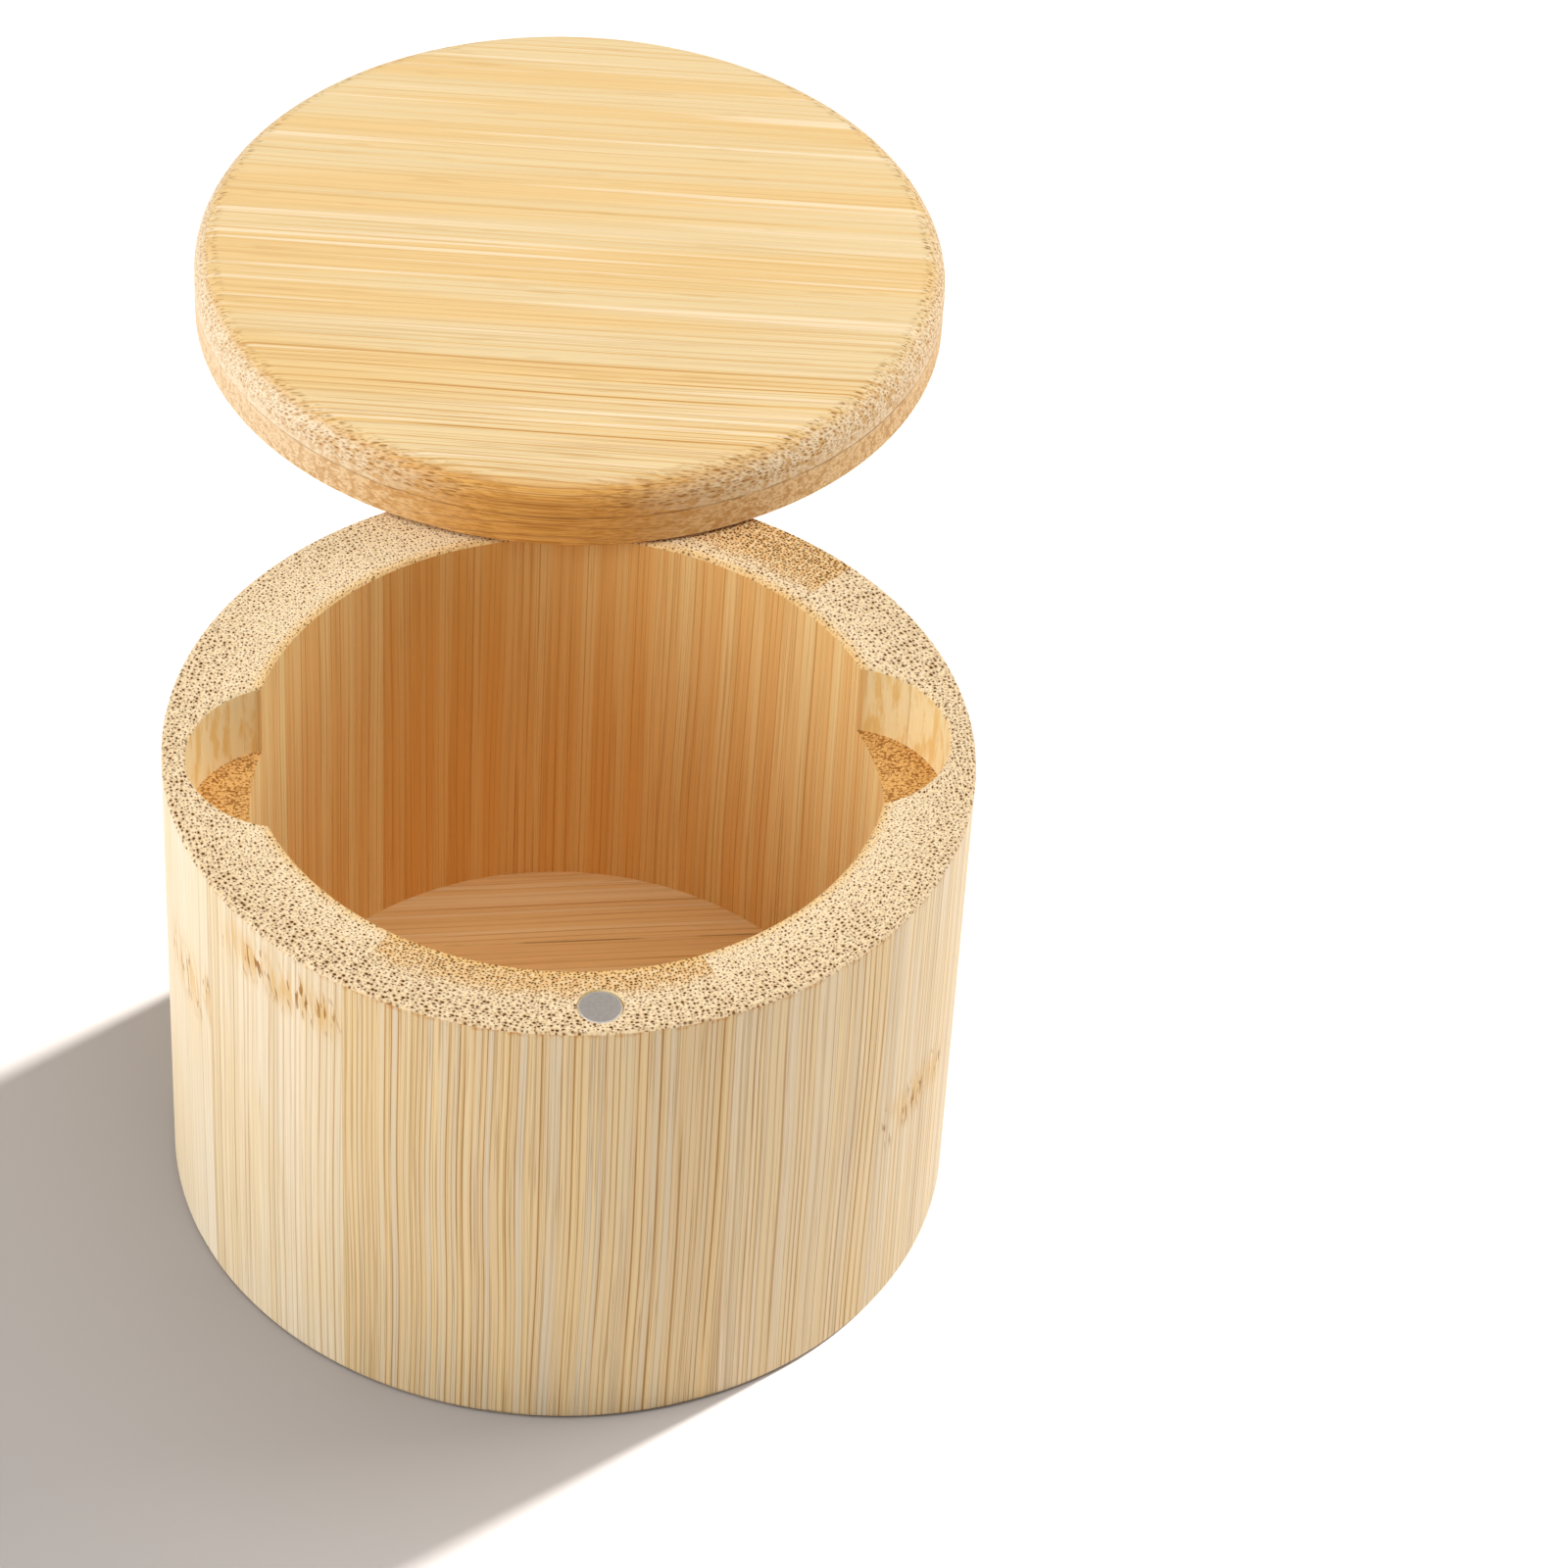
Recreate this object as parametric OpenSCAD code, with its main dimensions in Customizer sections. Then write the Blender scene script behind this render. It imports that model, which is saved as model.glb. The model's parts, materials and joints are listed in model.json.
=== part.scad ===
// Round bamboo salt box with a flat lid that swivels on a hidden pin in the rim.
// The wall is a ring of thirteen glued staves round a base disc. Two round spoon rests are bored
// into the rim at left and right, and a pair of magnets holds the lid over the front of the rim.
// Origin at the middle of the foot, +Z up, front of the box towards -Y, spoon rests on the X axis.

/* [Body] */
// Outside diameter of the body and of the lid
body_d = 90; // [70:1:120]
// Height of the body, from the foot to the rim
body_h = 61.3; // [40:0.1:90]
// Thickness of the wall, measured at the rim
wall = 9.5; // [8:0.1:12]
// Radius of the rounded outer edge of the foot
foot_round = 0.8; // [0.4:0.1:2]
// Bevel sanded on the inner and outer edges of the rim
rim_bevel = 0.3; // [0.1:0.05:0.6]

/* [Staves] */
// Turn of the first glue joint from the +X axis, in degrees
first_joint_angle = 11.7; // [0:0.1:27]

/* [Base] */
// Thickness of the base disc
base_t = 8; // [5:0.5:12]
// Width of the rebate that takes the base disc, outside the bore
rebate_w = 2; // [1:0.1:4]
// Gap filled with glue between the base disc and the side of its rebate
base_glue_gap = 0.1; // [0.05:0.05:0.3]

/* [Spoon rests] */
// Diameter of the cutter that bores each spoon rest
rest_d = 23; // [16:0.5:26]
// Depth of a spoon rest below the rim
rest_depth = 9.5; // [5:0.5:14]
// Thinnest wood left between a spoon rest and the outside
rest_outer_wall = 2.6; // [2:0.1:4]
// Bevel sanded on the upper edge of each spoon rest
rest_bevel = 0.3; // [0.1:0.05:0.6]

/* [Lid] */
// Thickness of the lower of the two boards glued together as the lid
lower_board_t = 4.2; // [3.5:0.1:6]
// Thickness of the upper board
upper_board_t = 4.8; // [4:0.1:7]
// Radius of the rounded upper edge of the lid
lid_round = 3; // [0.5:0.1:3.5]
// Bevel sanded on the lower edge of the lid
lid_bevel = 0.3; // [0.1:0.05:0.6]
// Gap between the rim and the underside of the lid
lid_gap = 0.3; // [0.2:0.05:0.5]
// How far the lid is swung open, anticlockwise seen from above, in degrees
lid_open = 171.3; // [0:0.1:360]

/* [Pivot] */
// Diameter of the pivot pin
pin_d = 4; // [3:0.1:5]
// Distance from the pivot to the outside of the body
pivot_inset = 5.7; // [4.5:0.1:6.5]
// Depth of the pin in the rim
pin_depth = 18; // [12:1:25]
// Wood left in the lid above the hole for the pin
pin_cover = 2.2; // [1.5:0.1:3]
// Radial running clearance between the pin and the lid
pin_clearance = 0.05; // [0.02:0.01:0.1]
// Radial gap filled with glue between the pin and the rim
pin_glue_gap = 0.02; // [0.01:0.01:0.05]
// Free space past each end of the pin
pin_end_gap = 0.3; // [0.2:0.1:0.6]
// Bevel on each end of the pin
pin_bevel = 0.4; // [0.2:0.1:0.6]

/* [Magnets] */
// Diameter of each magnet
magnet_d = 5; // [3:0.1:6]
// Thickness of each magnet
magnet_t = 2; // [1.5:0.1:2.8]
// Distance from the middle of a magnet to the outside of the body
magnet_inset = 4; // [3.5:0.1:6]
// Bevel on the edges of a magnet
magnet_bevel = 0.2; // [0.1:0.05:0.3]
// Gap filled with glue round a magnet and behind it
magnet_glue_gap = 0.05; // [0.03:0.01:0.1]
// How far a magnet lies below the face that it is let into
magnet_recess = 0.1; // [0.05:0.05:0.3]

/* [Hidden] */
$fn = 96;
body_r = body_d / 2;
bore_r = body_r - wall;
// Colour of each stave; the ring has one stave for each entry, and NODES names one node for each
stave_colors = [
    "wheat", "tan", "burlywood", "wheat", "wheat", "wheat", "wheat",
    "burlywood", "tan", "burlywood", "wheat", "wheat", "wheat"
];
stave_count = len(stave_colors);
stave_angle = 360 / stave_count;
wedge_reach = body_d;
base_r = bore_r + rebate_w - base_glue_gap;
rest_r = rest_d / 2;
rest_x = body_r - rest_outer_wall - rest_r;
rest_floor_z = body_h - rest_depth;
lid_z = body_h + lid_gap;
pivot_y = body_r - pivot_inset;
pin_r = pin_d / 2;
pin_z = body_h - pin_depth;
lid_t = lower_board_t + upper_board_t;
pin_hole_in_lid = lid_t - pin_cover;
pin_top_z = lid_z + pin_hole_in_lid - pin_end_gap;
magnet_r = magnet_d / 2;
magnet_y = magnet_inset - body_r;
magnet_seat_depth = magnet_recess + magnet_t + magnet_glue_gap;
// Overshoot of a cutter past the face that it enters
cut = 1;

// Half section of the wall: a square post with a rounded foot and bevelled rim edges
module wall_section() {
    difference() {
        union() {
            translate([bore_r, 0]) square([wall - foot_round, body_h]);
            translate([bore_r, foot_round]) square([wall, body_h - foot_round]);
            translate([body_r - foot_round, foot_round]) circle(r = foot_round);
        }
        rim_bevel_cut(bore_r, 1);
        rim_bevel_cut(body_r, -1);
        // rebate for the base disc
        translate([bore_r - cut, -cut]) square([cut + rebate_w, cut + base_t]);
    }
}

// Corner taken off the rim at radius r, on the side given by dir
module rim_bevel_cut(r, dir) {
    reach = rim_bevel + cut;
    translate([r, body_h])
        polygon([[-dir * cut, cut], [dir * reach, cut], [-dir * cut, -reach]]);
}

// Blind or open round hole along Z, from z upwards
module hole(r, z, depth) {
    translate([0, 0, z]) cylinder(r = r, h = depth);
}

// Round pocket bored into the rim as a spoon rest, with its upper edge bevelled
module spoon_rest_cut() {
    hole(rest_r, rest_floor_z, rest_depth + cut);
    reach = rest_bevel + cut;
    translate([0, 0, body_h - rest_bevel])
        cylinder(r1 = rest_r, r2 = rest_r + reach, h = reach);
}

// The glued ring after turning and boring, before it is looked at as single staves
module turned_ring() {
    difference() {
        rotate_extrude() wall_section();
        for (side = [-1, 1])
            translate([side * rest_x, 0, 0]) spoon_rest_cut();
        translate([0, pivot_y, 0])
            hole(pin_r + pin_glue_gap, pin_z - pin_end_gap, pin_depth + pin_end_gap + cut);
        translate([0, magnet_y, 0])
            hole(magnet_r + magnet_glue_gap, body_h - magnet_seat_depth, magnet_seat_depth + cut);
    }
}

// Wedge of space that belongs to one stave, with the glue joints as its flat sides
module stave_wedge(index) {
    start = first_joint_angle + index * stave_angle;
    translate([0, 0, -cut])
        linear_extrude(body_h + 2 * cut)
            polygon([
                [0, 0],
                wedge_reach * [cos(start), sin(start)],
                wedge_reach * [cos(start + stave_angle), sin(start + stave_angle)]
            ]);
}

// One stave of the wall, counted anticlockwise from the first glue joint
module stave(index) {
    color(stave_colors[index])
        intersection() {
            turned_ring();
            stave_wedge(index);
        }
}

module base_disc() {
    color("burlywood") cylinder(r = base_r, h = base_t);
}

// Magnet with bevelled edges, its lower face at z = 0
module magnet() {
    rotate_extrude()
        polygon([
            [0, 0],
            [magnet_r - magnet_bevel, 0],
            [magnet_r, magnet_bevel],
            [magnet_r, magnet_t - magnet_bevel],
            [magnet_r - magnet_bevel, magnet_t],
            [0, magnet_t]
        ]);
}

module rim_magnet() {
    color("silver")
        translate([0, magnet_y, body_h - magnet_recess - magnet_t]) magnet();
}

module pivot_pin() {
    color("lightslategray")
        translate([0, pivot_y, 0])
            rotate_extrude()
                polygon([
                    [0, pin_z],
                    [pin_r - pin_bevel, pin_z],
                    [pin_r, pin_z + pin_bevel],
                    [pin_r, pin_top_z - pin_bevel],
                    [pin_r - pin_bevel, pin_top_z],
                    [0, pin_top_z]
                ]);
}

// Swings a lid piece, modelled shut, round the pivot to where it lies open
module swung_open() {
    translate([0, pivot_y, 0])
        rotate([0, 0, lid_open])
            translate([0, -pivot_y, 0]) children();
}

// Blind hole in the lid that turns on the pin
module lid_pin_hole() {
    translate([0, pivot_y, 0])
        hole(pin_r + pin_clearance, lid_z - cut, pin_hole_in_lid + cut);
}

module lid_lower_board() {
    color("burlywood")
        swung_open()
            difference() {
                translate([0, 0, lid_z])
                    rotate_extrude()
                        polygon([
                            [0, 0],
                            [body_r - lid_bevel, 0],
                            [body_r, lid_bevel],
                            [body_r, lower_board_t],
                            [0, lower_board_t]
                        ]);
                lid_pin_hole();
                translate([0, magnet_y, 0])
                    hole(magnet_r + magnet_glue_gap, lid_z - cut, magnet_seat_depth + cut);
            }
}

module lid_upper_board() {
    color("wheat")
        swung_open()
            difference() {
                translate([0, 0, lid_z + lower_board_t])
                    rotate_extrude() {
                        square([body_r, upper_board_t - lid_round]);
                        square([body_r - lid_round, upper_board_t]);
                        intersection() {
                            translate([body_r - lid_round, upper_board_t - lid_round])
                                circle(r = lid_round);
                            square([body_r, upper_board_t]);
                        }
                    }
                lid_pin_hole();
            }
}

module lid_magnet() {
    color("silver")
        swung_open()
            translate([0, magnet_y, lid_z + magnet_recess]) magnet();
}

for (index = [0:stave_count - 1])
    stave(index);
base_disc();
rim_magnet();
pivot_pin();
lid_lower_board();
lid_upper_board();
lid_magnet();
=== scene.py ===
"""Finishes, lamps and camera for a round bamboo salt box with a flat lid that swivels.

The body is a ring of thirteen glued bamboo staves round a base disc. The lid is two boards glued
together; it turns on a pin in the back of the rim, and a pair of small magnets holds it shut.
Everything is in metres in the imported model's own frame: +Z up and the front of the box towards -Y.
The patterns are worked out in millimetres in each strip's own directions: X through its thickness,
Y across its width and Z along its fibres.
"""

import json
import logging
import math
from collections.abc import Mapping
from dataclasses import dataclass, field
from enum import Enum

import bpy
from mathutils import Euler, Matrix, Vector


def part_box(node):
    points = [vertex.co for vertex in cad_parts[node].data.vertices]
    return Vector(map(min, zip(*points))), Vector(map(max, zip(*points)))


LOG = logging.getLogger("salt_box")

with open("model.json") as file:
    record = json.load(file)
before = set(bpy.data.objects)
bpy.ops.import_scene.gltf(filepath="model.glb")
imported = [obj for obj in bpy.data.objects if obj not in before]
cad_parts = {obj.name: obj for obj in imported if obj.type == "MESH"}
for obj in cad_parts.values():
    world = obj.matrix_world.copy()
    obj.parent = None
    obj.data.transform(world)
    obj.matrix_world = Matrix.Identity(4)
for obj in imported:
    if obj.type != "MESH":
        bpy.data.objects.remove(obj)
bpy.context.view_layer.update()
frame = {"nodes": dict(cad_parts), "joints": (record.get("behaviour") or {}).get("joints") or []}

MM_PER_M = 1000.0

Rgba = tuple[float, float, float, float]
Socket = bpy.types.NodeSocket
SocketValue = Socket | float | tuple[float, ...] | Vector | Euler


def srgb(code: str) -> Rgba:
    """Turn a screen colour into the linear colour that shaders use.

    Args:
        code: Six hexadecimal digits, red first.

    Returns:
        The linear red, green and blue, with an alpha of 1.
    """
    levels = [int(code[i : i + 2], 16) / 255 for i in (0, 2, 4)]
    linear = [v / 12.92 if v <= 0.04045 else ((v + 0.055) / 1.055) ** 2.4 for v in levels]
    return (linear[0], linear[1], linear[2], 1.0)


class Graph:
    """A node tree under construction, with a short method for each kind of node used here."""

    def __init__(self, tree: bpy.types.NodeTree) -> None:
        """Work on the given tree."""
        self.tree = tree

    def feed(self, socket: Socket, value: SocketValue) -> None:
        """Link a socket to another, or set its plain value.

        Args:
            socket: The input socket.
            value: The output socket or plain value that it takes.
        """
        if isinstance(value, bpy.types.NodeSocket):
            self.tree.links.new(value, socket)
        else:
            socket.default_value = value

    def node(
        self,
        kind: str,
        inputs: Mapping[str | int, SocketValue] | None = None,
        **settings: str | bool | bpy.types.NodeTree,
    ) -> bpy.types.Node:
        """Add a node.

        Args:
            kind: Blender's name for the kind of node.
            inputs: What each input takes, by the input's name or place.
            **settings: The node's own options.

        Returns:
            The new node.
        """
        made = self.tree.nodes.new(kind)
        for name, value in settings.items():
            setattr(made, name, value)
        for key, value in (inputs or {}).items():
            self.feed(made.inputs[key], value)
        return made

    def math(self, operation: str, *values: SocketValue) -> Socket:
        """Add a Math node and return its result."""
        made = self.node("ShaderNodeMath", dict(enumerate(values)), operation=operation)
        return made.outputs[0]

    def product(self, first: SocketValue, *others: SocketValue) -> SocketValue:
        """Multiply values.

        Args:
            first: The first value.
            *others: The values that it is multiplied by.

        Returns:
            The product of them all.
        """
        for other in others:
            first = self.math("MULTIPLY", first, other)
        return first

    def vector(self, operation: str, *values: SocketValue) -> Socket:
        """Add a Vector Math node and return its vector."""
        made = self.node("ShaderNodeVectorMath", dict(enumerate(values)), operation=operation)
        return made.outputs["Vector"]

    def split(self, vector: Socket) -> tuple[Socket, Socket, Socket]:
        """Return the three parts of a vector."""
        made = self.node("ShaderNodeSeparateXYZ", {"Vector": vector})
        return made.outputs[0], made.outputs[1], made.outputs[2]

    def join(self, x: SocketValue, y: SocketValue, z: SocketValue) -> Socket:
        """Return a vector made of three values."""
        return self.node("ShaderNodeCombineXYZ", {0: x, 1: y, 2: z}).outputs[0]

    def ramp(self, value: SocketValue, zero_at: SocketValue, one_at: SocketValue) -> Socket:
        """Add a smooth step.

        Args:
            value: What the step depends on.
            zero_at: Where the step begins.
            one_at: Where the step ends, above or below zero_at.

        Returns:
            0 before the step, 1 past it, and a smooth change between.
        """
        inputs = {"Value": value, "From Min": zero_at, "From Max": one_at}
        made = self.node("ShaderNodeMapRange", inputs, interpolation_type="SMOOTHSTEP")
        return made.outputs["Result"]

    def scale(self, value: SocketValue, at_zero: SocketValue, at_one: SocketValue) -> Socket:
        """Return at_zero where value is 0, at_one where it is 1, and a straight line between."""
        inputs = {"Value": value, "To Min": at_zero, "To Max": at_one}
        return self.node("ShaderNodeMapRange", inputs).outputs["Result"]

    def mix(
        self, share: SocketValue, first: SocketValue, second: SocketValue, blend: str = "MIX"
    ) -> Socket:
        """Add a mix of two colours.

        Args:
            share: How much of the second colour comes in.
            first: The colour where share is 0.
            second: The colour that is blended in.
            blend: Blender's name for the kind of blend.

        Returns:
            The mixed colour.
        """
        inputs = {0: share, 6: first, 7: second}
        made = self.node("ShaderNodeMix", inputs, data_type="RGBA", blend_type=blend)
        return made.outputs[2]

    def noise(
        self,
        vector: Socket,
        waves: tuple[float, float, float],
        detail: float = 2.0,
        roughness: float = 0.5,
        output: str = "Fac",
    ) -> Socket:
        """Add a noise texture.

        Args:
            vector: Where the texture is read, in millimetres.
            waves: Waves for each millimetre along X, Y and Z.
            detail: Number of finer layers.
            roughness: Strength of each finer layer.
            output: Fac for one random value, or Color for three.

        Returns:
            The chosen output.
        """
        place = self.vector("MULTIPLY", vector, waves)
        inputs = {"Vector": place, "Scale": 1.0, "Detail": detail, "Roughness": roughness}
        return self.node("ShaderNodeTexNoise", inputs).outputs[output]

    def bend(
        self,
        vector: Socket,
        waves: tuple[float, float, float],
        reach: tuple[float, float, float],
    ) -> Socket:
        """Move places about smoothly and at random.

        Args:
            vector: The places, in millimetres.
            waves: Waves for each millimetre along X, Y and Z.
            reach: From one extreme of the shift to the other along X, Y and Z.

        Returns:
            The shift that is added to them.
        """
        dice = self.noise(vector, waves, detail=1.0, output="Color")
        return self.vector("MULTIPLY", self.vector("SUBTRACT", dice, (0.5,) * 3), reach)


class Effect:
    """A shader node group that several materials share, built once."""

    name = ""
    inputs: dict[str, str] = {}
    outputs: tuple[str, ...] = ()
    kinds = {"vector": "NodeSocketVector", "value": "NodeSocketFloat"}

    def __init__(self) -> None:
        """Make the group with its sockets and nodes."""
        self.tree = bpy.data.node_groups.new(self.name, "ShaderNodeTree")
        for title, kind in self.inputs.items():
            self.tree.interface.new_socket(title, in_out="INPUT", socket_type=self.kinds[kind])
        for title in self.outputs:
            self.tree.interface.new_socket(title, in_out="OUTPUT", socket_type="NodeSocketFloat")
        graph = Graph(self.tree)
        inlet = graph.node("NodeGroupInput")
        outlet = graph.node("NodeGroupOutput")
        results = self.build(graph, {title: inlet.outputs[title] for title in self.inputs})
        for title, result in results.items():
            graph.feed(outlet.inputs[title], result)

    def build(self, g: Graph, given: dict[str, Socket]) -> dict[str, Socket]:
        """Make the group's nodes.

        Args:
            g: The group's graph.
            given: The group's inputs by name.

        Returns:
            What goes to each output, by its name.
        """
        raise NotImplementedError

    def place(self, g: Graph, inputs: Mapping[str, SocketValue]) -> dict[str, Socket]:
        """Put the group into a material.

        Args:
            g: The material's graph.
            inputs: What each of the group's inputs takes.

        Returns:
            The group's outputs by name.
        """
        made = g.node("ShaderNodeGroup", node_tree=self.tree)
        for title, value in inputs.items():
            g.feed(made.inputs[title], value)
        return {title: made.outputs[title] for title in self.outputs}


class Pores(Effect):
    """Bamboo's bundles of vessels where they are cut across: dark pores in pale rings.

    Spacing is the distance between large pores in millimetres. Skin is 0 towards the pith, where
    they are small, and 1 towards the skin of the culm. Core is 1 where fine ones crowd together.
    """

    name = "bamboo_pores"
    inputs = {
        "Vector": "vector",
        "Seed": "value",
        "Spacing": "value",
        "Skin": "value",
        "Core": "value",
    }
    outputs = ("Pores", "Rings", "Net")

    def build(self, g: Graph, given: dict[str, Socket]) -> dict[str, Socket]:
        """Make the group's nodes.

        Args:
            g: The group's graph.
            given: The group's inputs by name.

        Returns:
            What goes to each output, by its name.
        """
        seed, spacing = given["Seed"], given["Spacing"]
        shift = g.join(g.product(seed, 19.0), g.product(seed, 41.0), g.product(seed, 7.0))
        strip = g.vector("ADD", given["Vector"], shift)
        bent = g.bend(strip, (0.05, 0.05, 0.014), (4.0, 4.0, 0.0))
        ragged = g.bend(strip, (3.0, 3.0, 0.3), (0.14, 0.14, 0.0))
        bundles = g.vector("ADD", g.vector("ADD", strip, bent), ragged)
        cells = g.vector("DIVIDE", bundles, g.join(spacing, g.product(spacing, 1.12), 1.0))
        swell = g.math("MAXIMUM", g.scale(given["Skin"], 0.7, 1.2), given["Core"])
        layers = []
        large = (1.0, 0.17, 0.34, 1.0, 0.15)
        small = (1.6, 0.25, 0.42, 0.5, 1.0)
        for crowding, least, most, outside, inside in (large, small):
            voronoi = g.node(
                "ShaderNodeTexVoronoi",
                {"Vector": cells, "Scale": crowding, "Randomness": 0.75},
                voronoi_dimensions="2D",
            )
            chance, weight, _ = g.split(voronoi.outputs["Color"])
            reach = g.product(g.scale(g.math("POWER", chance, 1.6), least, most), swell)
            away = voronoi.outputs["Distance"]
            share = g.scale(weight, 0.6, 1.0)
            share = g.product(share, g.scale(given["Core"], outside, inside))
            pore = g.product(g.ramp(away, reach, g.product(reach, 0.45)), share)
            ring = g.product(g.ramp(away, g.product(reach, 1.9), g.product(reach, 0.8)), share)
            layers.append((pore, ring, away))
        (first, wide, away), (second, narrow, _) = layers
        return {
            "Pores": g.math("MAXIMUM", first, second),
            "Rings": g.math("MAXIMUM", wide, narrow),
            "Net": g.ramp(away, 0.28, 0.62),
        }


class Grain(Effect):
    """Bamboo cut along its fibres: flat stripes side by side, with a thin dark line between.

    Width is the usual width of a stripe in millimetres. Each stripe has a Tint of its own, and
    grows warmer towards the lines at its sides.
    """

    name = "bamboo_grain"
    inputs = {"Vector": "vector", "Seed": "value", "Width": "value"}
    outputs = ("Lines", "Tint", "Warmth", "Streaks", "Mottle")

    def build(self, g: Graph, given: dict[str, Socket]) -> dict[str, Socket]:
        """Make the group's nodes.

        Args:
            g: The group's graph.
            given: The group's inputs by name.

        Returns:
            What goes to each output, by its name.
        """
        seed = given["Seed"]
        shift = g.join(g.product(seed, 19.0), g.product(seed, 41.0), g.product(seed, 173.0))
        strip = g.vector("ADD", given["Vector"], shift)
        fibres = g.vector("ADD", strip, g.bend(strip, (0.03, 0.03, 0.013), (1.0, 2.6, 0.0)))
        through, across, along = g.split(fibres)

        crowd = g.noise(fibres, (0.3, 0.3, 0.0), detail=1.0)
        course = g.math("DIVIDE", g.math("ADD", across, g.product(through, 0.5)), given["Width"])
        course = g.math("ADD", course, g.product(crowd, 2.6))
        place = g.product(seed, 57.3)
        stripe = g.math("ADD", g.math("FLOOR", course), g.math("ADD", place, 0.5))
        edge = g.math("ROUND", course)
        apart = g.math("ABSOLUTE", g.math("SUBTRACT", course, edge))
        key = g.math("ADD", edge, place)
        dice = g.node("ShaderNodeTexWhiteNoise", {"W": key}, noise_dimensions="1D")
        strength, width, _ = g.split(dice.outputs["Color"])
        half = g.scale(width, 0.08, 0.19)
        line = g.ramp(apart, half, g.product(half, 0.2))
        fade = g.noise(g.join(g.product(key, 3.7), 0.0, along), (1.0, 1.0, 0.03), 1.0)
        fade = g.ramp(fade, 0.30, 0.52)
        line = g.product(line, fade, g.scale(strength, 0.35, 1.0))
        thin = g.noise(fibres, (1.3, 3.0, 0.010), detail=2.0)
        thin = g.ramp(g.math("ABSOLUTE", g.math("SUBTRACT", thin, 0.5)), 0.034, 0.0)
        line = g.math("MAXIMUM", line, g.product(thin, 0.5))
        tint = g.node("ShaderNodeTexWhiteNoise", {"W": stripe}, noise_dimensions="1D")
        return {
            "Lines": line,
            "Tint": tint.outputs["Value"],
            "Warmth": g.product(g.ramp(apart, 0.42, 0.05), strength),
            "Streaks": g.noise(fibres, (3.0, 5.0, 0.05), 3.0, 0.6),
            "Mottle": g.noise(strip, (0.12, 0.12, 0.035)),
        }


class KnotMark(Effect):
    """The mark of a culm's knot: a slanting band of short dark flecks with a brown smear."""

    name = "bamboo_knot"
    inputs = {
        "Vector": "vector",
        "Across": "value",
        "Height": "value",
        "Slope": "value",
        "Spread": "value",
        "Length": "value",
    }
    outputs = ("Flecks", "Smear")

    def build(self, g: Graph, given: dict[str, Socket]) -> dict[str, Socket]:
        """Make the group's nodes.

        Args:
            g: The group's graph.
            given: The group's inputs by name.

        Returns:
            What goes to each output, by its name.
        """
        vector = given["Vector"]
        _, across, along = g.split(vector)
        aside = g.math("SUBTRACT", across, given["Across"])
        middle = g.math("ADD", given["Height"], g.product(aside, given["Slope"]))
        waver = g.noise(vector, (0.3, 0.3, 0.0), detail=1.0)
        middle = g.math("ADD", middle, g.scale(waver, -2.0, 2.0))
        away = g.math("ABSOLUTE", g.math("SUBTRACT", along, middle))
        band = g.ramp(away, given["Spread"], 0.0)
        ends = g.ramp(g.math("ABSOLUTE", aside), given["Length"], g.product(given["Length"], 0.6))
        band = g.product(band, ends)
        lean = g.join(0.0, g.product(along, 0.12), 0.0)
        leant = g.vector("ADD", vector, lean)
        flecks = g.noise(leant, (2.0, 2.4, 0.42), detail=1.0, roughness=0.4)
        clumps = g.noise(leant, (0.5, 0.42, 0.12), detail=1.0)
        flecks = g.product(g.ramp(flecks, 0.57, 0.63), g.ramp(clumps, 0.42, 0.56))
        smear = g.noise(leant, (0.9, 1.1, 0.10), detail=2.0)
        smear = g.ramp(smear, 0.40, 0.60)
        return {"Flecks": g.product(flecks, band), "Smear": g.product(smear, band)}


class GlueLine(Effect):
    """A thin dark line of glue, broken here and there, where a joint comes to the surface."""

    name = "glue_line"
    inputs = {"Vector": "vector", "Distance": "value", "Width": "value"}
    outputs = ("Line",)

    def build(self, g: Graph, given: dict[str, Socket]) -> dict[str, Socket]:
        """Make the group's nodes.

        Args:
            g: The group's graph.
            given: The group's inputs by name.

        Returns:
            What goes to each output, by its name.
        """
        line = g.ramp(given["Distance"], given["Width"], 0.0)
        breaks = g.noise(given["Vector"], (0.4, 0.4, 0.15), detail=2.0)
        return {"Line": g.product(line, g.ramp(breaks, 0.30, 0.56))}


class MetalWear(Effect):
    """Fine scuffs and small dull spots on plated metal. Length stretches the scuffs along X."""

    name = "metal_wear"
    inputs = {"Vector": "vector", "Length": "value"}
    outputs = ("Scuffs", "Spots")

    def build(self, g: Graph, given: dict[str, Socket]) -> dict[str, Socket]:
        """Make the group's nodes.

        Args:
            g: The group's graph.
            given: The group's inputs by name.

        Returns:
            What goes to each output, by its name.
        """
        lean = g.vector("DIVIDE", given["Vector"], g.join(given["Length"], 1.0, 1.0))
        scuffs = g.noise(lean, (9.0, 9.0, 9.0), detail=3.0, roughness=0.65)
        spots = g.noise(given["Vector"], (2.2, 2.2, 2.2), detail=3.0, roughness=0.6)
        return {"Scuffs": g.ramp(scuffs, 0.50, 0.66), "Spots": g.ramp(spots, 0.40, 0.62)}


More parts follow.
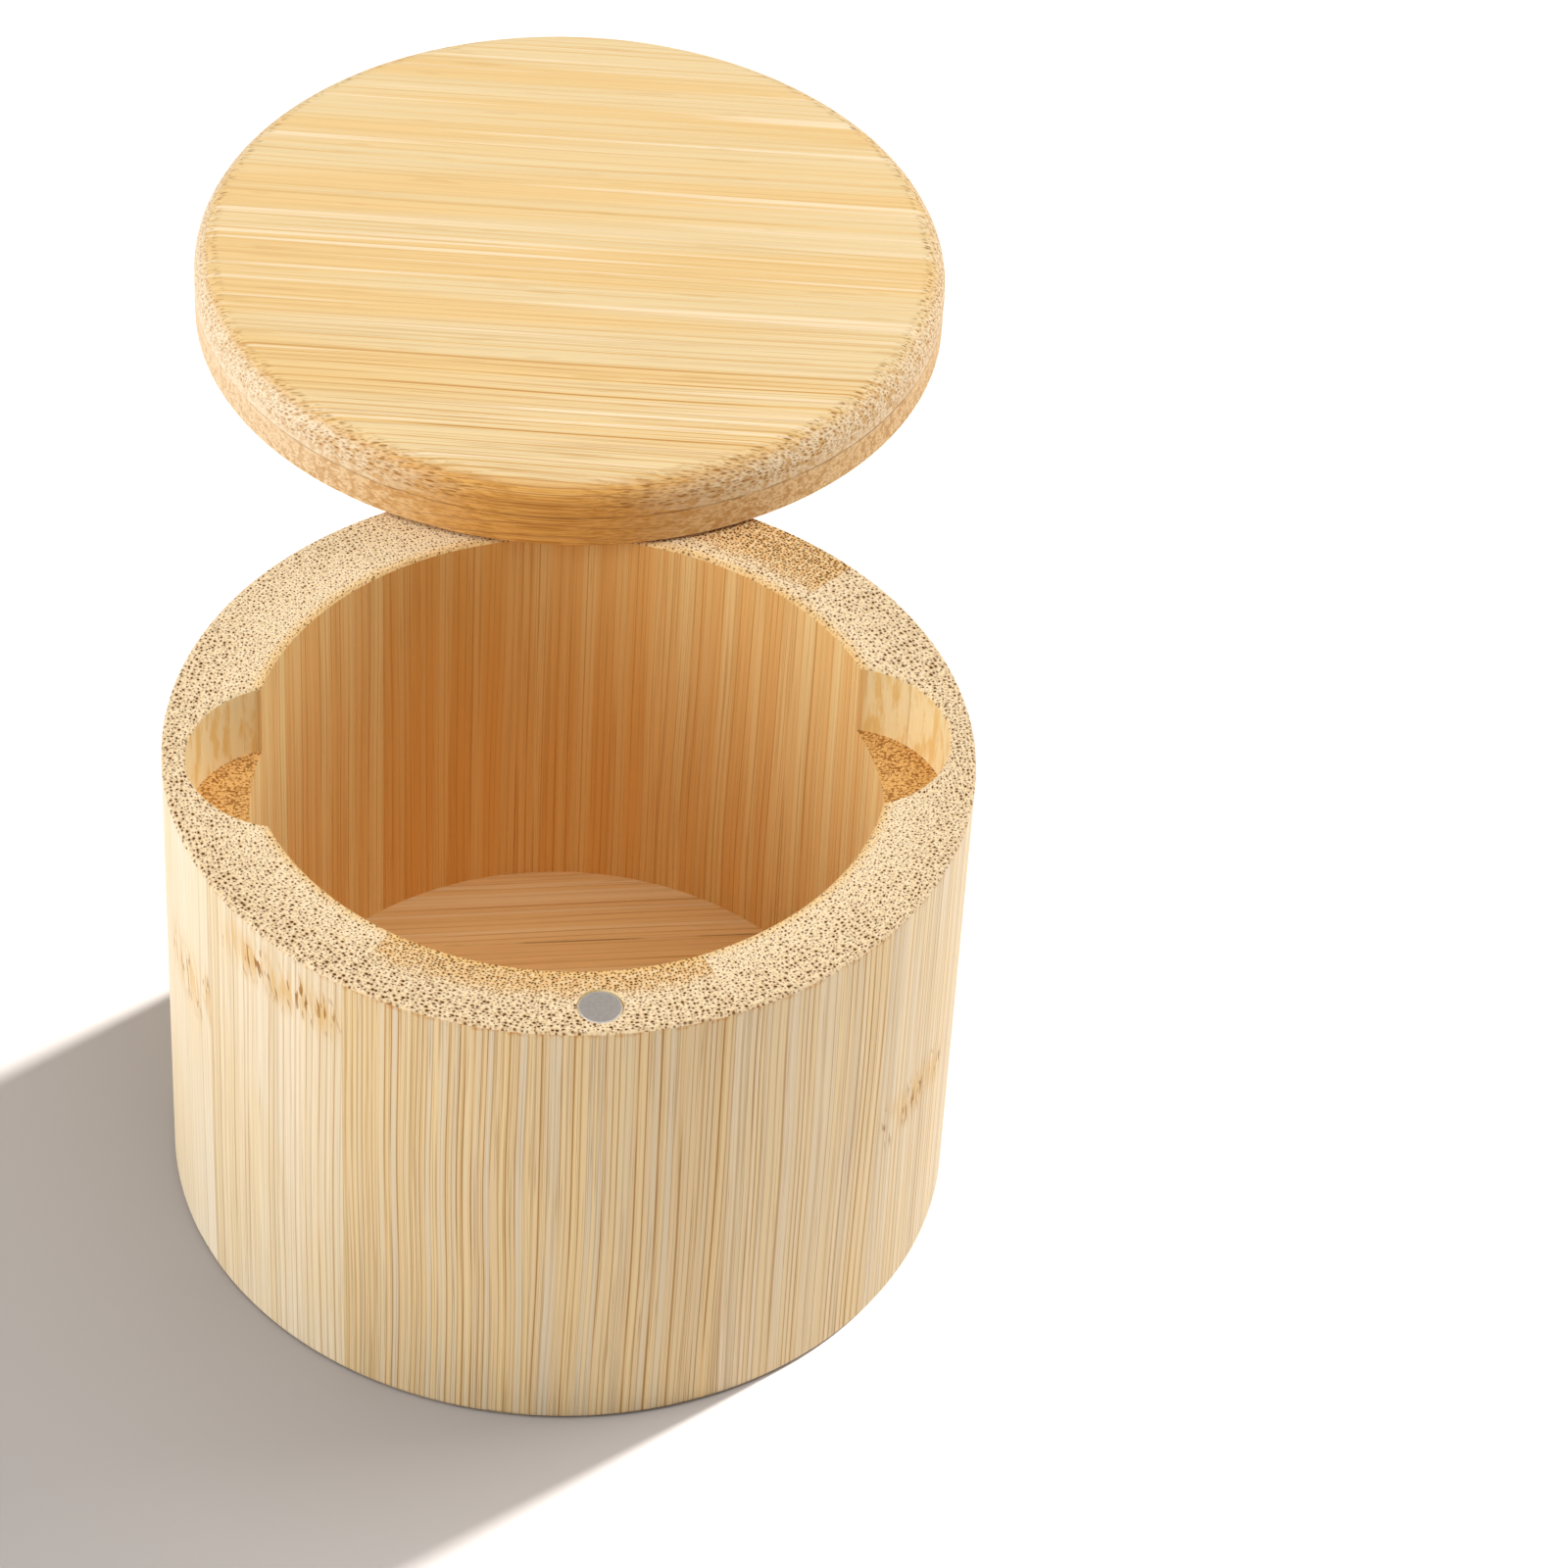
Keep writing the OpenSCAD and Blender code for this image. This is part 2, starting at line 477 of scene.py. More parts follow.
@dataclass(frozen=True)
class WallPalette:
    """Colours of the coopered wall."""

    side: Rgba = srgb("F9EACE")
    # Darker ochre of the outer wall: the wood's own tone, and painted shade on the front staves.
    ochre_and_shade: Rgba = srgb("E8CC9D")
    warm: Rgba = srgb("F4D8A0")
    dusky: Rgba = srgb("E3D3B6")
    line: Rgba = srgb("A87B3C")
    toasted: Rgba = srgb("E6B878")
    scorch: Rgba = srgb("C98332")
    end: Rgba = srgb("FDE7C3")
    net: Rgba = srgb("F4D9AA")
    core: Rgba = srgb("E6B576")
    pore: Rgba = srgb("573609")
    ring: Rgba = srgb("BB8233")
    # Painted glow along the rim's inner edge.
    lip_glow: Rgba = srgb("EFBE6C")
    bore: Rgba = srgb("FDEEB6")
    # Dark orange of the bore's streaks, also laid on as painted shade on the back staves.
    bore_streak_and_shade: Rgba = srgb("E69F42")
    bore_line: Rgba = srgb("C48C46")
    rest: Rgba = srgb("ECBA73")
    rest_pore: Rgba = srgb("935C22")
    rest_wall: Rgba = srgb("FEEBBA")
    rest_patch: Rgba = srgb("F3D08A")
    knot: Rgba = srgb("A06A20")
    smear: Rgba = srgb("E3B871")
    glue: Rgba = srgb("A87A42")


@dataclass(frozen=True)
class BoardPalette:
    """Colours of one flat bamboo board."""

    face: Rgba = srgb("EFD5A3")
    pale: Rgba = srgb("FAE3BC")
    warm: Rgba = srgb("EFC785")
    line: Rgba = srgb("D2A260")
    flank: Rgba = srgb("EDB461")
    flank_line: Rgba = srgb("B06C22")
    end: Rgba = srgb("F3E2C3")
    # Painted light: the paler colour laid over the lid's end towards the left lamp.
    painted_light: Rgba = srgb("F9EDD6")
    pore: Rgba = srgb("9C6520")
    glue: Rgba = srgb("8A5C2C")


@dataclass(frozen=True)
class MetalLook:
    """Colours and gloss of a plated piece."""

    plate: Rgba
    worn: Rgba
    metallic: float
    smooth: float
    rough: float


class Skin(Enum):
    """Which side of a strip has its crowded bundles, the side that was nearest the culm's skin."""

    OUTWARD = "outward"
    INWARD = "inward"


@dataclass(frozen=True)
class Knot:
    """Where a knot crosses a stave, in millimetres: its middle, slope, spread and half length."""

    across: float
    height: float
    slope: float
    spread: float
    length: float


@dataclass(frozen=True)
class StaveLook:
    """What sets one stave apart from the next."""

    skin: Skin = Skin.OUTWARD
    core: float | None = None
    density: float = 0.8
    spacing: float = 0.60
    tone: float = 0.0
    # How much of the darker ochre the outer wall takes: the wood's own tone, and painted shade on
    # the front staves.
    ochre_and_shade: float = 0.3
    # Painted shade in the bore: how much darker and more orange it is painted, most on the back
    # staves under the lid and least on the left staves.
    painted_bore_shade: float = 0.3
    lines: float = 0.6
    width: float = 0.85
    knot: Knot | None = None


@dataclass(frozen=True)
class Workshop:
    """The effects that all pieces share."""

    pores: Pores = field(default_factory=Pores)
    grain: Grain = field(default_factory=Grain)
    knots: KnotMark = field(default_factory=KnotMark)
    glue: GlueLine = field(default_factory=GlueLine)
    wear: MetalWear = field(default_factory=MetalWear)


class Finish:
    """One material in the making: colours go on one over another, and then it is sealed."""

    def __init__(self, name: str, turn: Euler | None = None, centre: Vector | None = None) -> None:
        """Start a material.

        Args:
            name: The material's name.
            turn: Turns the object's directions into the strip's own.
            centre: Where the strip's own place is zero, in metres.
        """
        turn = turn or Euler()
        centre = centre or Vector()
        self.material = bpy.data.materials.new(name)
        self.material.use_nodes = True
        self.material.node_tree.nodes.clear()
        g = self.g = Graph(self.material.node_tree)
        self.shader = g.node("ShaderNodeBsdfPrincipled")
        g.node("ShaderNodeOutputMaterial", {"Surface": self.shader.outputs["BSDF"]})
        place = g.node("ShaderNodeTexCoord")
        self.strip = g.node(
            "ShaderNodeMapping",
            {
                "Vector": place.outputs["Object"],
                "Location": turn.to_matrix() @ centre * -MM_PER_M,
                "Rotation": turn,
                "Scale": (MM_PER_M,) * 3,
            },
        ).outputs[0]
        self.through, self.across, self.along = g.split(self.strip)
        facing = g.node(
            "ShaderNodeMapping",
            {"Vector": place.outputs["Normal"], "Rotation": turn},
            vector_type="VECTOR",
        ).outputs[0]
        self.facing = tuple(g.math("ABSOLUTE", part) for part in g.split(facing))
        self.colour: SocketValue = (1.0, 1.0, 1.0, 1.0)

    def radius(self, first: Socket, second: Socket) -> Socket:
        """Return the distance from the axis on which both values are zero."""
        squares = (self.g.math("POWER", value, 2.0) for value in (first, second))
        return self.g.math("SQRT", self.g.math("ADD", *squares))

    def cover(self, share: SocketValue, colour: SocketValue, blend: str = "MIX") -> None:
        """Lay a colour over what is there, where share is above 0."""
        self.colour = self.g.mix(share, self.colour, colour, blend)

    def seal(
        self, roughness: Socket, height: Socket, depth: float, specular: float
    ) -> bpy.types.Material:
        """Send the colour, gloss and relief to the shader.

        Args:
            roughness: How dull the surface is.
            height: The relief, from -1 to 1.
            depth: What a height of 1 stands for, in metres.
            specular: How strongly the surface shines.

        Returns:
            The finished material.
        """
        g = self.g
        bump = g.node("ShaderNodeBump", {"Strength": 0.6, "Distance": depth, "Height": height})
        g.feed(self.shader.inputs["Base Color"], self.colour)
        g.feed(self.shader.inputs["Roughness"], roughness)
        g.feed(self.shader.inputs["Normal"], bump.outputs["Normal"])
        self.shader.inputs["Specular IOR Level"].default_value = specular
        return self.material


def dress(node: str, material: bpy.types.Material) -> None:
    """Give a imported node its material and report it.

    Args:
        node: The node's name.
        material: Its finish.
    """
    piece = frame["nodes"][node]
    piece.data.materials.clear()
    piece.data.materials.append(material)
    LOG.info("%s is finished in %s", node, material.name)


@dataclass
class WallRing:
    """The coopered wall: thirteen staves, told apart by tone, pores and knots.

    Sizes are in millimetres and the first joint's place in degrees from the X axis. Core_edge is
    half the width of a soft edge round crowded bundles. The colours of a spoon rest's floor set in
    at the depths rest_start below the rim, and only above the heights foot_end.
    """

    workshop: Workshop
    palette: WallPalette = field(default_factory=WallPalette)
    first_joint: float = 11.7
    outer_radius: float = 45.0
    bore_radius: float = 35.5
    core_edge: float = 1.3
    joint_width: float = 0.14
    rest_start: tuple[float, float] = (1.0, 2.0)
    foot_end: tuple[float, float] = (10.0, 15.0)
    looks: tuple[StaveLook, ...] = (
        # The bore is painted darker and more orange on the back staves, as painted shade under the
        # lid, with the least painted shade on the left staves.
        StaveLook(spacing=0.70, density=1.0, tone=-0.3, painted_bore_shade=0.35),
        StaveLook(core=38.0, tone=-0.2, density=1.2, painted_bore_shade=0.5),
        StaveLook(density=0.8, painted_bore_shade=0.65),
        StaveLook(density=0.6, spacing=0.55, painted_bore_shade=0.75),
        StaveLook(density=0.6, spacing=0.55, painted_bore_shade=0.45),
        StaveLook(density=0.9, lines=0.25, painted_bore_shade=0.15),
        StaveLook(density=0.9, lines=0.12, ochre_and_shade=0.0, knot=Knot(5.0, 42.0, 0.05, 6.0, 8.0)),
        StaveLook(density=1.1, lines=0.5, ochre_and_shade=0.1, knot=Knot(1.5, 56.0, -0.1, 5.0, 11.0)),
        # The front staves take the most ochre, partly the wood's own tone and partly painted shade
        # on the side away from the lamps.
        StaveLook(skin=Skin.INWARD, core=39.6, lines=1.2, ochre_and_shade=1.0, width=0.72, density=1.1),
        StaveLook(skin=Skin.INWARD, core=39.2, lines=1.1, ochre_and_shade=0.9, width=0.72, density=1.0),
        StaveLook(density=0.9, lines=1.0, ochre_and_shade=0.4),
        StaveLook(spacing=0.54, lines=0.7, ochre_and_shade=0.1, knot=Knot(-3.0, 29.5, 0.0, 5.0, 10.0)),
        StaveLook(density=0.95, spacing=0.56, lines=0.35, ochre_and_shade=0.2),
    )

    def dress(self) -> None:
        """Give every stave its own material."""
        for index, look in enumerate(self.looks):
            node = f"stave_{index + 1:02d}"
            dress(node, self.material(node, index, look))

    def material(self, node: str, index: int, look: StaveLook) -> bpy.types.Material:
        """Make the finish of one stave.

        Args:
            node: The stave's name.
            index: Its place in the ring, counted from the first joint.
            look: What sets it apart.

        Returns:
            The material.
        """
        share = 2 * math.pi / len(self.looks)
        middle = math.radians(self.first_joint) + (index + 0.5) * share
        finish = Finish(f"bamboo_{node}", turn=Euler((0.0, 0.0, -middle)))
        g = finish.g
        radius = finish.radius(finish.through, finish.across)
        cut = g.ramp(finish.facing[2], 0.45, 0.8)
        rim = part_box(node)[1].z * MM_PER_M
        below = g.math("SUBTRACT", rim, finish.along)

        core = self.core(finish, look, radius)
        skin = g.ramp(radius, self.bore_radius, self.outer_radius)
        skin = g.product(g.scale(skin, 0.3, 1.0), look.density)
        pores = self.workshop.pores.place(
            g,
            {
                "Vector": finish.strip,
                "Seed": index + 1.0,
                "Spacing": look.spacing,
                "Skin": skin,
                "Core": core,
            },
        )
        grain = self.workshop.grain.place(
            g, {"Vector": finish.strip, "Seed": index + 1.0, "Width": look.width}
        )
        self.outside(finish, look, grain, below)
        self.inside(finish, look, grain, radius)
        finish.cover(cut, self.end(finish, pores, grain, core, radius, below))
        if look.knot:
            self.knot(finish, look.knot, g.math("SUBTRACT", 1.0, cut))
        self.joints(finish, share / 2)
        tone = 1.0 + 0.1 * look.tone
        finish.cover(1.0, (tone, tone, tone, 1.0), "MULTIPLY")

        sunk = g.product(pores["Pores"], cut, -1.0)
        grooves = g.product(grain["Lines"], g.math("SUBTRACT", 1.0, cut), -0.3)
        height = g.math("ADD", sunk, grooves)
        roughness = g.scale(grain["Streaks"], 0.44, 0.62)
        roughness = g.math("MAXIMUM", roughness, g.product(pores["Pores"], cut))
        return finish.seal(roughness, height, depth=0.00015, specular=0.12)

    def core(self, finish: Finish, look: StaveLook, radius: Socket) -> SocketValue:
        """Find where fine bundles crowd together, with a soft uneven edge.

        Args:
            finish: The stave's finish.
            look: What sets the stave apart.
            radius: Distance from the ring's axis, in millimetres.

        Returns:
            1 where they crowd together and 0 elsewhere.
        """
        if look.core is None:
            return 0.0
        g = finish.g
        uneven = g.noise(finish.strip, (0.5, 0.5, 0.02))
        radius = g.math("ADD", radius, g.scale(uneven, -1.2, 1.2))
        inner, outer = look.core - self.core_edge, look.core + self.core_edge
        if look.skin is Skin.INWARD:
            return g.ramp(radius, outer, inner)
        return g.ramp(radius, inner, outer)

    def outside(
        self, finish: Finish, look: StaveLook, grain: dict[str, Socket], below: Socket
    ) -> None:
        """Lay the colours of the outer wall, with the front staves painted darker, partly as painted
        shade.

        Args:
            finish: The stave's finish.
            look: What sets the stave apart.
            grain: Its stripes.
            below: How far below the rim a point lies, in millimetres.
        """
        g, colours = finish.g, self.palette
        # Base colour leaning to ochre per stave; on the front staves this is partly painted shade.
        finish.cover(1.0, g.mix(look.ochre_and_shade, colours.side, colours.ochre_and_shade))
        finish.cover(g.product(g.ramp(grain["Tint"], 0.2, 0.5), 0.55 * look.lines), colours.warm)
        finish.cover(g.product(g.ramp(grain["Tint"], 0.5, 0.9), 0.85 * look.lines), colours.dusky)
        finish.cover(g.product(g.ramp(grain["Mottle"], 0.40, 0.68), 0.35), colours.warm)
        finish.cover(g.product(g.ramp(grain["Streaks"], 0.42, 0.66), 0.3), colours.dusky)
        finish.cover(g.product(grain["Warmth"], 0.45 * look.lines), colours.toasted)
        finish.cover(g.product(grain["Lines"], 0.3 + 0.6 * look.lines), colours.line)
        scorch = g.noise(finish.strip, (0.9, 0.9, 1.6), detail=3.0, roughness=0.6)
        scorch = g.product(g.ramp(scorch, 0.42, 0.60), g.ramp(below, 1.1, 0.35), 0.9 * look.lines)
        finish.cover(g.product(scorch, g.scale(grain["Warmth"], 0.35, 1.0)), colours.scorch)

    def inside(
        self, finish: Finish, look: StaveLook, grain: dict[str, Socket], radius: Socket
    ) -> None:
        """Lay the colours of the bore, with painted shade that darkens it most on the back staves,
        and of the spoon rests' walls.

        Args:
            finish: The stave's finish.
            look: What sets the stave apart.
            grain: Its stripes.
            radius: Distance from the ring's axis, in millimetres.
        """
        g, colours = finish.g, self.palette
        strips = g.noise(finish.strip, (0.0, 0.35, 0.004), detail=1.0)
        # The bore's streaks, with painted shade: each stave's amount of painted shade sets how much
        # dark orange goes on.
        streaks_and_shade = g.scale(g.ramp(strips, 0.42, 0.58), 0.85 * look.painted_bore_shade, 0.3 + 0.7 * look.painted_bore_shade)
        wood = g.mix(streaks_and_shade, colours.bore, colours.bore_streak_and_shade)
        wood = g.mix(g.product(grain["Lines"], 0.8), wood, colours.bore_line)
        hidden = g.ramp(radius, self.outer_radius - 1.0, self.outer_radius - 1.8)
        finish.cover(hidden, wood)
        rest = g.product(g.ramp(radius, self.bore_radius + 0.3, self.bore_radius + 0.8), hidden)
        patch = g.noise(finish.strip, (0.5, 0.9, 0.16), detail=3.0, roughness=0.6)
        patch = g.ramp(patch, 0.46, 0.62)
        finish.cover(g.product(rest, 0.95), g.mix(patch, colours.rest_wall, colours.rest_patch))

    def end(
        self,
        finish: Finish,
        pores: dict[str, Socket],
        grain: dict[str, Socket],
        core: SocketValue,
        radius: Socket,
        below: Socket,
    ) -> Socket:
        """Mix the colours of the faces cut across the fibres: the rim, spoon rests and foot, with a
        painted glow along the rim's inner edge.

        Args:
            finish: The stave's finish.
            pores: Its pores.
            grain: Its stripes.
            core: Where fine bundles crowd together.
            radius: Distance from the ring's axis, in millimetres.
            below: How far below the rim a point lies, in millimetres.

        Returns:
            The mixed colour.
        """
        g, colours = finish.g, self.palette
        mottle = grain["Mottle"]
        wood = g.mix(g.product(core, g.scale(mottle, 0.75, 1.0)), colours.end, colours.core)
        wood = g.mix(g.product(pores["Net"], 0.75), wood, colours.net)
        # Painted light: a warm glow painted along the rim's inner edge, standing in for light
        # shining through the thin lip from the bore.
        lip_glow = g.ramp(radius, self.bore_radius + 1.6, self.bore_radius)
        wood = g.mix(g.product(lip_glow, 0.6), wood, colours.lip_glow)
        wood = g.mix(g.product(pores["Rings"], 0.6), wood, colours.ring)
        wood = g.mix(g.ramp(pores["Pores"], 0.1, 0.8), wood, colours.pore)
        rough = g.noise(finish.strip, (2.6, 4.2, 0.2), detail=2.0, roughness=0.5)
        floor = g.mix(g.product(g.ramp(rough, 0.47, 0.60), 0.85), colours.rest, colours.rest_pore)
        floor = g.mix(g.product(pores["Pores"], 0.7), floor, colours.rest_pore)
        above_foot = g.ramp(finish.along, *self.foot_end)
        sunk = g.product(g.ramp(below, *self.rest_start), above_foot)
        return g.mix(sunk, wood, floor)

    def knot(self, finish: Finish, knot: Knot, side: Socket) -> None:
        """Lay a knot's smear and flecks over the stave's side.

        Args:
            finish: The stave's finish.
            knot: Where the knot is.
            side: 1 where a face isn't cut across the fibres.
        """
        mark = self.workshop.knots.place(
            finish.g,
            {
                "Vector": finish.strip,
                "Across": knot.across,
                "Height": knot.height,
                "Slope": knot.slope,
                "Spread": knot.spread,
                "Length": knot.length,
            },
        )
        finish.cover(finish.g.product(mark["Smear"], side, 0.7), self.palette.smear)
        finish.cover(finish.g.product(mark["Flecks"], side, 0.9), self.palette.knot)

    def joints(self, finish: Finish, half: float) -> None:
        """Draw the glue line along both edges of the stave.

        Args:
            finish: The stave's finish.
            half: Half of the stave's share of the ring, in radians.
        """
        g = finish.g
        aside = g.product(g.math("ABSOLUTE", finish.across), math.cos(half))
        distance = g.math("SUBTRACT", g.product(finish.through, math.sin(half)), aside)
        glue = self.workshop.glue.place(
            g, {"Vector": finish.strip, "Distance": distance, "Width": self.joint_width}
        )
        finish.cover(g.product(glue["Line"], 0.35), self.palette.glue)


@dataclass
class BaseDisc:
    """The floor of the box: one board of glued strips, with the fibres running left to right."""

    workshop: Workshop
    palette: BoardPalette = field(
        default_factory=lambda: BoardPalette(
            face=srgb("EFCB92"), warm=srgb("E4B473"), line=srgb("B98546"), pale=srgb("F3D6A6")
        )
    )
    node: str = "base_disc"
    strip_width: float = 17.0
    joint_width: float = 0.2

    def dress(self) -> None:
        """Give the disc its material."""
        low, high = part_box(self.node)
        turn = Matrix(((0, 0, 1), (0, -1, 0), (1, 0, 0))).to_euler()
        finish = Finish("bamboo_base", turn=turn, centre=(low + high) / 2)
        g, colours = finish.g, self.palette
        course = g.math("ADD", g.math("DIVIDE", finish.across, self.strip_width), 0.37)
        seed = g.math("ADD", g.math("FLOOR", course), 31.0)
        grain = self.workshop.grain.place(
            g, {"Vector": finish.strip, "Seed": seed, "Width": 0.9}
        )
        tone = g.node("ShaderNodeTexWhiteNoise", {"W": seed}, noise_dimensions="1D")
        finish.cover(1.0, g.mix(tone.outputs["Value"], colours.face, colours.warm))
        finish.cover(g.product(g.ramp(grain["Tint"], 0.4, 0.8), 0.5), colours.pale)
        finish.cover(g.product(grain["Warmth"], 0.5), colours.warm)
        finish.cover(g.product(grain["Lines"], 0.75), colours.line)
        pores = self.workshop.pores.place(
            g, {"Vector": finish.strip, "Seed": seed, "Spacing": 0.7, "Skin": 0.6, "Core": 0.0}
        )
        cut = g.ramp(finish.facing[2], 0.15, 0.5)
        finish.cover(cut, g.mix(pores["Pores"], colours.end, colours.pore))
        joint = g.math("ABSOLUTE", g.math("SUBTRACT", g.math("FRACT", course), 0.5))
        distance = g.product(g.math("SUBTRACT", 0.5, joint), self.strip_width)
        glue = self.workshop.glue.place(
            g, {"Vector": finish.strip, "Distance": distance, "Width": self.joint_width}
        )
        finish.cover(g.product(glue["Line"], 0.8), colours.glue)
        height = g.product(g.math("MAXIMUM", grain["Lines"], glue["Line"]), -0.4)
        roughness = g.scale(grain["Streaks"], 0.46, 0.64)
        dress(self.node, finish.seal(roughness, height, depth=0.00012, specular=0.3))


@dataclass
class SwivelLid:
    """The lid: two boards glued face to face, with their fibres along the lid's own X.

    The widths are in millimetres: of a stripe on the faces, of a layer seen on the sides, and of
    the glue joint. One end, the one towards the left lamp, is painted paler, with fainter pores,
    flecks and glue: painted light. The last field tells how far along the fibres this begins and
    where it is full.
    """

    workshop: Workshop
    upper: BoardPalette = field(default_factory=BoardPalette)
    lower: BoardPalette = field(
        default_factory=lambda: BoardPalette(
            face=srgb("F0CD98"),
            warm=srgb("E8B878"),
            line=srgb("C48E4E"),
            end=srgb("F3D5A4"),
            pore=srgb("D2A05E"),
        )
    )
    stripe_width: float = 1.15
    layer_width: float = 0.9
    joint_width: float = 0.22
    painted_light_end: tuple[float, float] = (14.0, 36.0)

    def turn(self) -> Euler:
        """Find how the lid lies at rest from the joint's place and the upper board's.

        Returns:
            The turn from the frame's directions into the boards' own.
        """
        low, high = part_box("lid_upper_board")
        hinge = next(j for j in frame["joints"] if j["name"] == "lid_swivel")
        reach = (low + high) / 2 - Vector(hinge["pos_m"])
        swung = math.atan2(reach.y, reach.x) + math.pi / 2
        along = Vector((math.cos(swung), math.sin(swung), 0.0))
        across = Vector((0.0, 0.0, 1.0)).cross(along)
        return Matrix(((0, 0, 1), -across, along)).to_euler()

    def dress(self) -> None:
        """Give both boards their materials."""
        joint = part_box("lid_upper_board")[0].z
        for node, colours, seed in (
            ("lid_upper_board", self.upper, 3.0),
            ("lid_lower_board", self.lower, 8.0),
        ):
            dress(node, self.board(node, colours, seed, joint))

    def board(
        self, node: str, colours: BoardPalette, seed: float, joint: float
    ) -> bpy.types.Material:
        """Make the finish of one board.

        Args:
            node: The board's name.
            colours: Its colours.
            seed: Sets its pattern apart from the other board's.
            joint: Height of the glue between the boards, in metres.

        Returns:
            The material.
        """
        low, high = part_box(node)
        centre = (low + high) / 2
        finish = Finish(f"bamboo_{node}", turn=self.turn(), centre=centre)
        g = finish.g
        grain = self.workshop.grain.place(
            g, {"Vector": finish.strip, "Seed": seed, "Width": self.stripe_width}
        )
        pores = self.workshop.pores.place(
            g, {"Vector": finish.strip, "Seed": seed, "Spacing": 0.50, "Skin": 0.7, "Core": 0.0}
        )
        turned = g.join(finish.across, finish.through, finish.along)
        layers = self.workshop.grain.place(
            g, {"Vector": turned, "Seed": seed + 5.0, "Width": self.layer_width}
        )
        self.face(finish, colours, grain)
        side = g.ramp(finish.facing[0], 0.96, 0.6)
        flank = self.flank(finish, colours, layers)
        finish.cover(g.product(side, g.ramp(finish.facing[2], 0.75, 0.25)), flank)
        cut = g.ramp(finish.facing[2], 0.12, 0.52)
        # Painted light: the end towards the left lamp is painted paler, with fainter pore dashes and
        # glue line.
        painted_lit_end = g.ramp(finish.along, *self.painted_light_end)
        finish.cover(g.product(cut, side), self.end(finish, colours, pores, painted_lit_end))

        above_joint = g.math("SUBTRACT", finish.through, (joint - centre.z) * MM_PER_M)
        from_joint = g.math("ABSOLUTE", above_joint)
        even = g.ramp(from_joint, 0.3, 1.6)
        dashes = g.product(pores["Pores"], g.ramp(finish.facing[2], 0.05, 0.22), even)
        finish.cover(g.product(dashes, g.scale(painted_lit_end, 0.9, 0.65)), colours.pore)
        glue = self.workshop.glue.place(
            g, {"Vector": finish.strip, "Distance": from_joint, "Width": self.joint_width}
        )
        finish.cover(g.product(glue["Line"], g.scale(painted_lit_end, 0.75, 0.35)), colours.glue)

        sunk = g.product(dashes, -0.8)
        grooves = g.product(grain["Lines"], g.math("SUBTRACT", 1.0, cut), -0.3)
        roughness = g.math("MAXIMUM", g.scale(grain["Streaks"], 0.42, 0.60), dashes)
        return finish.seal(roughness, g.math("ADD", sunk, grooves), depth=0.00012, specular=0.15)

    def face(self, finish: Finish, colours: BoardPalette, grain: dict[str, Socket]) -> None:
        """Lay the colours of the flat faces, with stronger lines towards the near edge.

        Args:
            finish: The board's finish.
            colours: Its colours.
            grain: Its stripes.
        """
        g = finish.g
        near = g.ramp(finish.across, 20.0, -42.0)
        bands = g.noise(finish.strip, (0.05, 0.14, 0.006), detail=2.0)
        finish.cover(1.0, colours.face)
        finish.cover(g.product(g.ramp(bands, 0.44, 0.60), 0.75), colours.warm)
        pale = g.noise(finish.strip, (0.5, 1.0, 0.012), detail=1.0)
        finish.cover(g.product(g.ramp(pale, 0.58, 0.68), 0.9), colours.pale)
        finish.cover(g.product(grain["Warmth"], g.scale(near, 0.45, 1.0)), colours.warm)
        finish.cover(g.product(grain["Lines"], g.scale(near, 0.45, 1.0)), colours.line)
        finish.cover(g.product(grain["Lines"], g.ramp(near, 0.45, 1.0), 0.5), colours.flank_line)
        flecks = g.noise(finish.strip, (0.35, 0.8, 0.09), detail=1.0)
        finish.cover(g.product(g.ramp(flecks, 0.66, 0.74), 0.25), colours.line)

    def flank(self, finish: Finish, colours: BoardPalette, layers: dict[str, Socket]) -> Socket:
        """Mix the colours of the sides that run along the fibres.

        Args:
            finish: The board's finish.
            colours: Its colours.
            layers: The stripes of its layers, seen from the side.

        Returns:
            The mixed colour.
        """
        g = finish.g
        flank = g.mix(g.product(layers["Warmth"], 0.6), colours.flank, colours.warm)
        streaks = g.ramp(layers["Streaks"], 0.46, 0.60)
        flank = g.mix(g.product(streaks, 0.5), flank, colours.flank_line)
        return g.mix(g.product(layers["Lines"], 0.9), flank, colours.flank_line)

    def end(
        self, finish: Finish, colours: BoardPalette, pores: dict[str, Socket], painted_lit_end: Socket
    ) -> Socket:
        """Mix the colours of the sides cut across the fibres.

        Args:
            finish: The board's finish.
            colours: Its colours.
            pores: Its pores.
            painted_lit_end: 1 at the end painted paler as painted light, and 0 elsewhere.

        Returns:
            The mixed colour.
        """
        g = finish.g
        end = g.mix(g.product(pores["Net"], 0.3), colours.end, colours.warm)
        end = g.mix(g.product(pores["Rings"], 0.65), end, colours.line)
        # Painted light: the lit end is painted paler, and its torn flecks fainter.
        end = g.mix(g.product(painted_lit_end, 0.3), end, colours.painted_light)
        torn = g.noise(finish.strip, (1.1, 1.6, 0.14), detail=3.0, roughness=0.6)
        torn = g.product(g.ramp(torn, 0.48, 0.62), g.scale(painted_lit_end, 0.75, 0.4))
        return g.mix(torn, end, colours.line)


